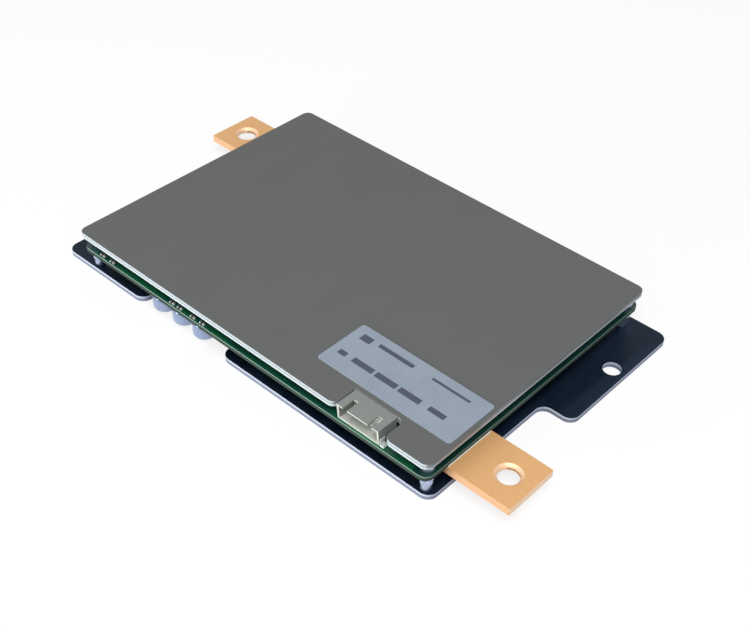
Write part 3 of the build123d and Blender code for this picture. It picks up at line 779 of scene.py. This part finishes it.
# %% Turned cans with scored ends
middle = (low + high) / 2
foot = Vector((middle.x, middle.y, low.z))
can = turned("capacitor_can_1", foot, levels)
for long_x, long_y in ((SCORE_LENGTH, SCORE_WIDTH), (SCORE_WIDTH, SCORE_LENGTH)):
    reach = Vector((long_x / 2, long_y / 2, 0))
    dish = Vector((0, 0, BOTTOM_DISH + SCORE_DEPTH))
    cut_away(can, block("score", foot - reach - Vector((0, 0, SCORE_DEPTH)), foot + reach + dish))
paint(can, "can")
for number in (2, 3):
    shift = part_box(f"capacitor_{number}")[0] - low
    finish_piece(copy_of(can, f"capacitor_can_{number}", shift), "can", f"capacitor_{number}")
finish_piece(can, "can", "capacitor_1")

# %% [markdown]
# ## Standoffs and spacers
# The board stands on four turned standoffs, each with a slim foot, a body with one thin groove and
# a stud that passes through the board into a spacer above. Small chamfers break their edges, and
# the light that they catch shows that these are turned. Each gets its threaded bore by an inset
# and an extrusion into its end.

# %% Turned standoffs and spacers
# Each level is a radius and a height, in millimetres.
STANDOFF_MM = (
    (1.5, 0.0),
    (1.7, 0.2),
    (1.7, 2.4),
    (1.85, 2.6),
    (2.0, 2.8),
    (2.0, 4.3),
    (1.88, 4.4),
    (1.88, 4.65),
    (2.0, 4.75),
    (2.0, 6.3),
    (1.8, 6.5),
    (1.0, 6.5),
    (1.0, 10.7),
    (0.8, 10.9),
)
SPACER_MM = ((1.9, 0.0), (2.1, 0.2), (2.1, 3.8), (1.9, 4.0))
BORE_RADIUS = 1.05 * MM
BORE_DEPTH = 3.7 * MM


def fixing(name, part, outline):
    """One turned fixing with a bore in its lower end, at the place of a part."""
    low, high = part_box(part)
    foot = Vector(((low.x + high.x) / 2, (low.y + high.y) / 2, low.z))
    piece = turned(name, foot, [(radius * MM, height * MM) for radius, height in outline])
    start_edit(piece)
    pick("FACE", lambda f: f.normal.z < -LEVEL and centre_of(f).z < low.z + NEAR)
    bpy.ops.mesh.inset(thickness=outline[0][0] * MM - BORE_RADIUS)
    bpy.ops.mesh.extrude_region_move(TRANSFORM_OT_translate={"value": (0, 0, BORE_DEPTH)})
    paint(piece, "turned_metal")
    return piece


for kind, outline in (("lower_standoff", STANDOFF_MM), ("upper_spacer", SPACER_MM)):
    first = fixing(f"turned_{kind}_1", f"{kind}_1", outline)
    for number in (2, 3, 4):
        part = f"{kind}_{number}"
        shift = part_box(part)[0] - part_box(f"{kind}_1")[0]
        finish_piece(copy_of(first, "turned_" + part, shift), "turned_metal", part)
    finish_piece(first, "turned_metal", f"{kind}_1")

# %% [markdown]
# ## Copper bars
# The two bars are one part, turned by half a turn. A block gets its corners rounded by a bevel of
# its upright edges. The hole is cut by a turned cutter that flares at both ends, which leaves the
# countersinks, and a fine bevel breaks every edge that the shears left sharp.

# %% Copper bars
BAR_CORNER = 0.45 * MM
BAR_CORNER_STEPS = 4
BAR_EDGE = 0.1 * MM
HOLE_RADIUS = 3.3 * MM
HOLE_FLARE = 1.0 * MM
FLARE_DEPTH = 0.75 * MM
CUTTER_PAST = 0.15 * MM
HOLE_FROM_TIP = 8.0 * MM

low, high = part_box("battery_busbar")
bar = block("battery_bar", low, high)
start_edit(bar)
pick("EDGE", lambda e: abs(e.verts[0].co.z - e.verts[1].co.z) > NEAR)
bpy.ops.mesh.bevel(offset=BAR_CORNER, segments=BAR_CORNER_STEPS)
wide = HOLE_RADIUS + HOLE_FLARE * (1 + CUTTER_PAST / FLARE_DEPTH)
thickness = high.z - low.z
cutter = turned(
    "hole_cutter",
    (high.x - HOLE_FROM_TIP, (low.y + high.y) / 2, low.z),
    (
        (wide, -CUTTER_PAST),
        (HOLE_RADIUS, FLARE_DEPTH),
        (HOLE_RADIUS, thickness - FLARE_DEPTH),
        (wide, thickness + CUTTER_PAST),
    ),
)
cut_away(bar, cutter)
soften(bar, BAR_EDGE)
paint(bar, "copper")
pack_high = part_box("pack_busbar")[1]
pack_shift = (low.x + pack_high.x, low.y + pack_high.y, 0)
pack_bar = copy_of(bar, "pack_bar", pack_shift, math.pi)
finish_piece(pack_bar, "copper", "pack_busbar")
finish_piece(bar, "copper", "battery_busbar")

# %% [markdown]
# ## Solder along the bars
# The bars are soldered under the board, and a bead of solder shows where each one leaves it. The
# bead is a strip whose outer top edge is pulled down, subdivided along its length and made a little
# uneven, because solder freezes in soft lumps.

# %% Solder beads
BEAD_REACH = 0.25 * MM
BEAD_HEIGHT = 0.3 * MM
BEAD_END_GAP = 0.5 * MM
BEAD_SLOPE = 0.7
BEAD_CUTS = 24
BEAD_UNEVEN = 0.02 * MM
BEAD_SEED = 4
BEAD_EDGE = 0.04 * MM
SOLDER_ANGLE = 30

board_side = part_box("main_board")[1].x
start = Vector((board_side, low.y + BEAD_END_GAP, high.z))
stop = Vector((board_side + BEAD_REACH, high.y - BEAD_END_GAP, high.z + BEAD_HEIGHT))
bead = block("battery_bar_solder", start, stop)
start_edit(bead)
pick("EDGE", lambda e: centre_of(e).x > stop.x - NEAR and centre_of(e).z > stop.z - NEAR)
bpy.ops.transform.translate(value=(0, 0, -BEAD_SLOPE * BEAD_HEIGHT))
pick("EDGE", lambda e: abs(e.verts[0].co.y - e.verts[1].co.y) > NEAR)
bpy.ops.mesh.subdivide(number_cuts=BEAD_CUTS)
pick("VERT", lambda v: v.co.x > start.x + NEAR and v.co.z > start.z + NEAR)
bpy.ops.transform.vertex_random(offset=BEAD_UNEVEN, seed=BEAD_SEED)
soften(bead, BEAD_EDGE, angle=SOLDER_ANGLE)
paint(bead, "tin")
finish_piece(copy_of(bead, "pack_bar_solder", pack_shift, math.pi), "tin")
finish_piece(bead, "tin")

# %% [markdown]
# ## Connector housing
# The balance lead plugs in here. The housing is a moulded nylon box, open at the front, with two
# slots in its roof for the plug's ribs. It starts as a block whose front face is inset and pushed
# in. The front is raked, so that the roof's lip stands ahead of the floor's. Cutter blocks take out
# the slots and the pin holes, and a small bevel rounds what is left, because the light line along a
# rounded edge is what makes a moulding look moulded.

# %% Walls, slots and pins of the housing
WALL = 0.8 * MM
FLOOR_WALL = 0.6 * MM
ROOF_WALL = 0.7 * MM
BACK_WALL = 1.3 * MM
LEAD_IN = 0.2 * MM
SLOT_WIDTH = 1.65 * MM
SLOT_DEPTH = 4.7 * MM
SLOT_FROM_MIDDLE = 4.7 * MM
SLOT_THROUGH = 1.3  # the cutter's depth, as a share of the roof's thickness
FRONT_RAKE = 0.7 * MM
MOULD_EDGE = 0.1 * MM
PIN_PITCH = 2.0 * MM
PIN_HALF = 0.25 * MM
PIN_ROOM = 0.03 * MM
PIN_COUNT = 6
PINS = [(number - (PIN_COUNT - 1) / 2) * PIN_PITCH for number in range(PIN_COUNT)]

low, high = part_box("connector_housing")
size = high - low
middle = (low + high) / 2
pins_low, pins_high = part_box("connector_pins")
pin_height = pins_high.z - PIN_HALF
print("header:", [round(length / MM, 2) for length in size], "mm")

# %% The hollow and the raked front
housing = block("connector_shell", low, high)
start_edit(housing)
pick("FACE", lambda f: f.normal.y < -LEVEL)
bpy.ops.mesh.inset(thickness=FLOOR_WALL)
hollow_width = (size.x - 2 * WALL) / (size.x - 2 * FLOOR_WALL)
hollow_height = (size.z - FLOOR_WALL - ROOF_WALL) / (size.z - 2 * FLOOR_WALL)
bpy.ops.transform.resize(value=(hollow_width, 1, hollow_height), center_override=middle)
bpy.ops.transform.translate(value=(0, 0, (FLOOR_WALL - ROOF_WALL) / 2))
bpy.ops.mesh.extrude_region_move(TRANSFORM_OT_translate={"value": (0, size.y - BACK_WALL, 0)})
for level in (low.z, low.z + FLOOR_WALL, high.z - ROOF_WALL):
    pick("VERT", lambda v: v.co.y < low.y + NEAR and abs(v.co.z - level) < NEAR)
    bpy.ops.transform.translate(value=(0, FRONT_RAKE * (high.z - level) / size.z, 0))


def at_the_mouth(edge):
    """True for the four edges where the hollow meets the raked front."""
    spot = centre_of(edge)
    on_the_front = all(v.co.y < low.y + FRONT_RAKE + NEAR for v in edge.verts)
    inside_width = abs(spot.x - middle.x) < size.x / 2 - WALL + NEAR
    inside_height = low.z + FLOOR_WALL - NEAR < spot.z < high.z - ROOF_WALL + NEAR
    return on_the_front and inside_width and inside_height


mouth = pick("EDGE", at_the_mouth)
bpy.ops.mesh.bevel(offset=LEAD_IN, segments=2)
print(mouth, "edges round the mouth")

# %% Slots, pin holes and soft edges
for side in (-1, 1):
    slot_x = middle.x + side * SLOT_FROM_MIDDLE
    slot_low = (slot_x - SLOT_WIDTH / 2, low.y - MM, high.z - SLOT_THROUGH * ROOF_WALL)
    slot_high = (slot_x + SLOT_WIDTH / 2, low.y + SLOT_DEPTH, high.z + MM)
    cut_away(housing, block("slot_cutter", slot_low, slot_high))
for pin_x in PINS:
    reach = Vector((PIN_HALF + PIN_ROOM, 2 * BACK_WALL, PIN_HALF + PIN_ROOM))
    spot = Vector((middle.x + pin_x, high.y, pin_height))
    cut_away(housing, block("pin_cutter", spot - reach, spot + reach))
soften(housing, MOULD_EDGE)
paint(housing, "header")
finish_piece(housing, "header", "connector_housing")

# %% [markdown]
# ## Pins
# Each pin is a square wire with a tapered tip, bent down behind the housing to a foot on the board.
# It starts as the small cube at the bend, and grows from there by extruding one face after another.
# The tips stand a little deeper in the hollow than those of the CAD part, where the lead-in hides
# them from above.

# %% Pins
PIN_TAPER = 0.5 * MM
PIN_TIP_SHARE = 0.45
PIN_FOOT = 0.9 * MM
PIN_BACK = 1.2 * MM
WIRE_EDGE = 0.04 * MM

bend_y = pins_high.y - PIN_FOOT - PIN_HALF
bend = Vector((middle.x + PINS[0], bend_y, pin_height))
reach = Vector((PIN_HALF, PIN_HALF, PIN_HALF))
pin = block("connector_pin_row", bend - reach, bend + reach)
start_edit(pin)
pick("FACE", lambda f: f.normal.y < -LEVEL)
run = bend_y - PIN_HALF - pins_low.y - PIN_TAPER - PIN_BACK
bpy.ops.mesh.extrude_region_move(TRANSFORM_OT_translate={"value": (0, -run, 0)})
bpy.ops.mesh.extrude_region_move(TRANSFORM_OT_translate={"value": (0, -PIN_TAPER, 0)})
tip = (bend.x, pins_low.y + PIN_BACK, pin_height)
bpy.ops.transform.resize(value=(PIN_TIP_SHARE, 1, PIN_TIP_SHARE), center_override=tip)
pick("FACE", lambda f: f.normal.z < -LEVEL and abs(centre_of(f).y - bend_y) < NEAR)
drop = pin_height - PIN_HALF - pins_low.z - PIN_HALF
bpy.ops.mesh.extrude_region_move(TRANSFORM_OT_translate={"value": (0, 0, -drop)})
bpy.ops.mesh.extrude_region_move(TRANSFORM_OT_translate={"value": (0, 0, -PIN_HALF)})
foot_top = pins_low.z + PIN_HALF + NEAR
pick("FACE", lambda f: f.normal.y > LEVEL and centre_of(f).z < foot_top)
bpy.ops.mesh.extrude_region_move(TRANSFORM_OT_translate={"value": (0, PIN_FOOT, 0)})
soften(pin, WIRE_EDGE)
paint(pin, "tin")
others = [copy_of(pin, "pin", (pin_x - PINS[0], 0, 0)) for pin_x in PINS[1:]]
finish_piece(join([pin] + others), "tin", "connector_pins")

# %% [markdown]
# ## Solder tabs
# A tab is a strip of tinned sheet against the housing's side, bent out to a foot, and solder wets
# the foot all round. A block is sliced at the bend, and the lower part of its side is pulled out
# for the foot. The tab on the other side is a copy, turned by half a turn and set further back.

# %% Solder tabs
TAB_SHEET = 0.3 * MM
TAB_EDGE = 0.07 * MM
SOLDER_PAST = 0.12 * MM
SOLDER_HEIGHT = 0.16 * MM
SOLDER_TOP_SHARE = 0.8
SOLDER_EDGE = 0.05 * MM
FAR_TAB_BACK = 1.5 * MM

tab_low, tab_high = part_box("connector_tabs")
upright_high = (high.x + TAB_SHEET, tab_high.y, tab_high.z)
tab = block("solder_tab_row", (high.x, tab_low.y, tab_low.z), upright_high)
start_edit(tab)
bpy.ops.mesh.select_all(action="SELECT")
bpy.ops.mesh.bisect(plane_co=(0, 0, tab_low.z + TAB_SHEET), plane_no=(0, 0, 1))
pick("FACE", lambda f: f.normal.x > LEVEL and centre_of(f).z < tab_low.z + TAB_SHEET)
foot_reach = tab_high.x - high.x - TAB_SHEET
bpy.ops.mesh.extrude_region_move(TRANSFORM_OT_translate={"value": (foot_reach, 0, 0)})
soften(tab, TAB_EDGE, 3)
pad_low = (high.x + TAB_SHEET, tab_low.y - SOLDER_PAST, tab_low.z)
pad_high = (tab_high.x + SOLDER_PAST, tab_high.y + SOLDER_PAST, tab_low.z + SOLDER_HEIGHT)
pad = block("pad", pad_low, pad_high)
start_edit(pad)
pick("FACE", lambda f: f.normal.z > LEVEL)
bpy.ops.transform.resize(value=(SOLDER_TOP_SHARE, SOLDER_TOP_SHARE, 1))
soften(pad, SOLDER_EDGE, angle=SOLDER_ANGLE)
tab = join([tab, pad])
paint(tab, "tin")
half_turn_shift = (2 * middle.x, tab_low.y + tab_high.y + FAR_TAB_BACK, 0)
other = copy_of(tab, "tab", half_turn_shift, math.pi)
finish_piece(join([tab, other]), "tin", "connector_tabs")

# %% [markdown]
# ## Chip parts along the front edge
# The small parts at the board's front edge are ceramic chips between tinned ends, with a wedge of
# solder at each end. One is made from a body, two end caps and two wedges, then copied along the
# edge. Their bright ends are what shows between the plates.

# %% Chip parts
CHIP_LENGTH = 1.6 * MM
CHIP_STEPS = [step * MM for step in (4.9, 34.3, 37.8, 43.9, 48.2)]
CHIP_EDGE = 0.03 * MM
CAP_LENGTH = 0.35 * MM
CAP_PROUD = 0.05 * MM
CAP_EDGE = 0.07 * MM
WEDGE_LENGTH = 0.35 * MM
WEDGE_SHARE = 0.7
WEDGE_SLOPE = 0.8
WEDGE_EDGE = 0.04 * MM

low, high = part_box("edge_chips")
wedge_top = low.z + WEDGE_SHARE * (high.z - low.z)
chip = block(
    "chip_row",
    (low.x + CAP_LENGTH, low.y + CAP_PROUD, low.z),
    (low.x + CHIP_LENGTH - CAP_LENGTH, high.y - CAP_PROUD, high.z - CAP_PROUD),
)
soften(chip, CHIP_EDGE)
paint(chip, "chip_ceramic")
ends = []
for outward, cap_x in ((-1, low.x), (1, low.x + CHIP_LENGTH - CAP_LENGTH)):
    cap = block("cap", (cap_x, low.y, low.z), (cap_x + CAP_LENGTH, high.y, high.z))
    soften(cap, CAP_EDGE, 3)
    outer = cap_x if outward < 0 else cap_x + CAP_LENGTH
    tip = outer + outward * WEDGE_LENGTH
    wedge_low = (min(outer, tip), low.y + CAP_PROUD, low.z)
    wedge = block("wedge", wedge_low, (max(outer, tip), high.y - CAP_PROUD, wedge_top))
    start_edit(wedge)
    pick("EDGE", lambda e: abs(centre_of(e).x - tip) < NEAR and centre_of(e).z > wedge_top - NEAR)
    bpy.ops.transform.translate(value=(0, 0, -WEDGE_SLOPE * (wedge_top - low.z)))
    soften(wedge, WEDGE_EDGE)
    paint(cap, "tin")
    paint(wedge, "tin")
    ends += [cap, wedge]
chip = join([chip] + ends)
others = [copy_of(chip, "chip", (step, 0, 0)) for step in CHIP_STEPS]
finish_piece(join([chip] + others), "chip_ceramic", "edge_chips")

# %% [markdown]
# ## Label
# The sticker on the grey plate carries plain bars of ink. It is cut from one sheet: the outline is a
# rectangle with rounded corners, raised to the paper's thickness, then sliced along the edges of the
# bars, so that each bar is a face that takes the ink. The ink is a little glossier than the paper.

# %% Paper with rounded corners
LABEL_CORNER = 1.1 * MM
LABEL_CORNER_STEPS = 8
LABEL_PAST = 0.25 * MM  # how far the paper reaches past the CAD part on each side

low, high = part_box("label")
size = high - low
middle = (low + high) / 2
sticker = primitive("plane", "sticker", (middle.x, middle.y, low.z), size=1)
sticker.scale = (size.x + 2 * LABEL_PAST, size.y + 2 * LABEL_PAST, 1)
settle(sticker)
start_edit(sticker)
bpy.ops.mesh.select_all(action="SELECT")
bpy.ops.mesh.bevel(offset=LABEL_CORNER, segments=LABEL_CORNER_STEPS, affect="VERTICES")
bpy.ops.mesh.select_all(action="SELECT")
bpy.ops.mesh.extrude_region_move(TRANSFORM_OT_translate={"value": (0, 0, size.z)})
bpy.ops.mesh.select_all(action="SELECT")
bpy.ops.mesh.normals_make_consistent(inside=False)
print("label:", [round(length / MM, 2) for length in size], "mm in the CAD model")

# %% Printed bars
INK = plain_finish("printing_ink", ("3C4355", "474E60"), 0.5 * MM, 0.5)
# Each bar's left, right, bottom and top, as shares of the label.
BARS = (
    (0.06, 0.14, 0.72, 0.86),
    (0.19, 0.46, 0.78, 0.86),
    (0.60, 0.88, 0.80, 0.85),
    (0.05, 0.11, 0.27, 0.37),
    (0.16, 0.32, 0.27, 0.38),
    (0.34, 0.50, 0.27, 0.38),
    (0.52, 0.68, 0.27, 0.38),
    (0.74, 0.86, 0.28, 0.38),
)
across_cuts = {share for bar in BARS for share in bar[:2]}
up_cuts = {share for bar in BARS for share in bar[2:]}
for share in sorted(across_cuts):
    bpy.ops.mesh.select_all(action="SELECT")
    bpy.ops.mesh.bisect(plane_co=(low.x + share * size.x, 0, 0), plane_no=(1, 0, 0))
for share in sorted(up_cuts):
    bpy.ops.mesh.select_all(action="SELECT")
    bpy.ops.mesh.bisect(plane_co=(0, low.y + share * size.y, 0), plane_no=(0, 1, 0))


def on_a_bar(face):
    """True for an upper face that lies in one of the bars."""
    spot = centre_of(face)
    across = (spot.x - low.x) / size.x
    up = (spot.y - low.y) / size.y
    inside = any(a < across < b and c < up < d for a, b, c, d in BARS)
    return face.normal.z > LEVEL and inside


paint(sticker, "sticker")
sticker.data.materials.append(INK)
inked = pick("FACE", on_a_bar)
bpy.context.object.active_material_index = 1
bpy.ops.object.material_slot_assign()
print(inked, "inked faces")
finish_piece(sticker, "sticker", "label")

# %% [markdown]
# ## Floor, sky and lamps
# The floor and the sky show as plain white to the camera and in reflections, and the floor keeps a
# faint shadow. To everything else they give a duller bounce, so that they light the board no more
# than a grey studio would. A square lamp hangs above the board, in front and to the right, and
# lights the bars right up to the board. A low, wide lamp in front and a little to the left makes
# the front edges bright and leaves the edges at the right in shade.

# %% Floor
FLOOR_SIZE = 6
FLOOR_GLOW = 0.79


def seen_directly(tree):
    """1 for rays from the camera, a mirror or glass, else 0."""
    rays = node(tree, "LightPath").outputs
    seen = rays["Is Camera Ray"]
    for other in ("Is Glossy Ray", "Is Transmission Ray"):
        seen = node(tree, "Math", {0: seen, 1: rays[other]}, operation="MAXIMUM").outputs["Value"]
    return seen


floor = primitive("plane", "floor", (0, 0, 0), size=FLOOR_SIZE)
floor_material = bpy.data.materials.new("white_floor")
floor_material.use_nodes = True
tree = floor_material.node_tree
tree.nodes.clear()
real = node(tree, "BsdfDiffuse", {"Color": colour("B4B4B4")}).outputs["BSDF"]
shadowed = node(tree, "BsdfDiffuse", {"Color": colour("868686")}).outputs["BSDF"]
glow = node(tree, "Emission", {"Color": colour("FFFFFF"), "Strength": FLOOR_GLOW})
shown = node(tree, "AddShader", {0: shadowed, 1: glow.outputs["Emission"]}).outputs["Shader"]
both = node(tree, "MixShader", {"Fac": seen_directly(tree), 1: real, 2: shown})
node(tree, "OutputMaterial", {"Surface": both.outputs["Shader"]})
floor.data.materials.append(floor_material)
print("floor:", FLOOR_SIZE, "m wide")

# %% Sky
WORLD_LEVEL = 0.36
SEEN_LEVEL = 1.0
world = bpy.data.worlds.new("studio")
bpy.context.scene.world = world
world.use_nodes = True
tree = world.node_tree
tree.nodes.clear()
strength = blend(tree, seen_directly(tree), WORLD_LEVEL, SEEN_LEVEL)
sky = node(tree, "Background", {"Color": colour("FFFFFF"), "Strength": strength})
node(tree, "OutputWorld", {"Surface": sky.outputs["Background"]})
print("the sky lights the board at", WORLD_LEVEL)


# %% Lamps
def lamp(name, place, size, power):
    """A soft lamp of this width and height that points at the origin."""
    data = bpy.data.lights.new(name, "AREA")
    data.shape = "RECTANGLE"
    data.size, data.size_y = size
    data.energy = power
    made = bpy.data.objects.new(name, data)
    bpy.context.scene.collection.objects.link(made)
    made.location = place
    made.rotation_mode = "QUATERNION"
    made.rotation_quaternion = (-Vector(place)).to_track_quat("-Z", "Y")
    print(name, power, "W")


lamp("front_lamp", (-0.30, -1.0, 0.09), (0.5, 0.16), 9.6)
lamp("high_lamp", (0.34, -0.40, 0.92), (0.5, 0.5), 6.6)

# %% [markdown]
# ## Camera
# The camera looks down from the front right, about 40 degrees to the side and 40 degrees up, with a
# slight roll. It stands 0.4 m away, so near things look larger, as in a picture taken on a bench.

# %% Camera
CAMERA_PLACE = (209.82 * MM, -237.02 * MM, 261.24 * MM)
AZIMUTH = math.radians(40.403)
ELEVATION = math.radians(40.326)
ROLL = math.radians(2.835)
FOCAL_PIXELS = 1242.87
IMAGE_WIDTH = 750
SENSOR_WIDTH = 36
NEAREST = 0.01
FURTHEST = 20

data = bpy.data.cameras.new("camera")
camera = bpy.data.objects.new("camera", data)
bpy.context.scene.collection.objects.link(camera)
bpy.context.scene.camera = camera
data.sensor_width = SENSOR_WIDTH
data.lens = FOCAL_PIXELS * SENSOR_WIDTH / IMAGE_WIDTH
data.clip_start = NEAREST
data.clip_end = FURTHEST
back = Vector((
    math.sin(AZIMUTH) * math.cos(ELEVATION),
    -math.cos(AZIMUTH) * math.cos(ELEVATION),
    math.sin(ELEVATION),
))
level = Vector((math.cos(AZIMUTH), math.sin(AZIMUTH), 0))
upward = back.cross(level)
right = level * math.cos(ROLL) + upward * math.sin(ROLL)
up = upward * math.cos(ROLL) - level * math.sin(ROLL)
turn = Matrix((right, up, back)).transposed()
camera.matrix_world = Matrix.Translation(CAMERA_PLACE) @ turn.to_4x4()
bpy.context.scene.view_settings.view_transform = "Standard"
print("lens:", round(data.lens, 1), "mm")
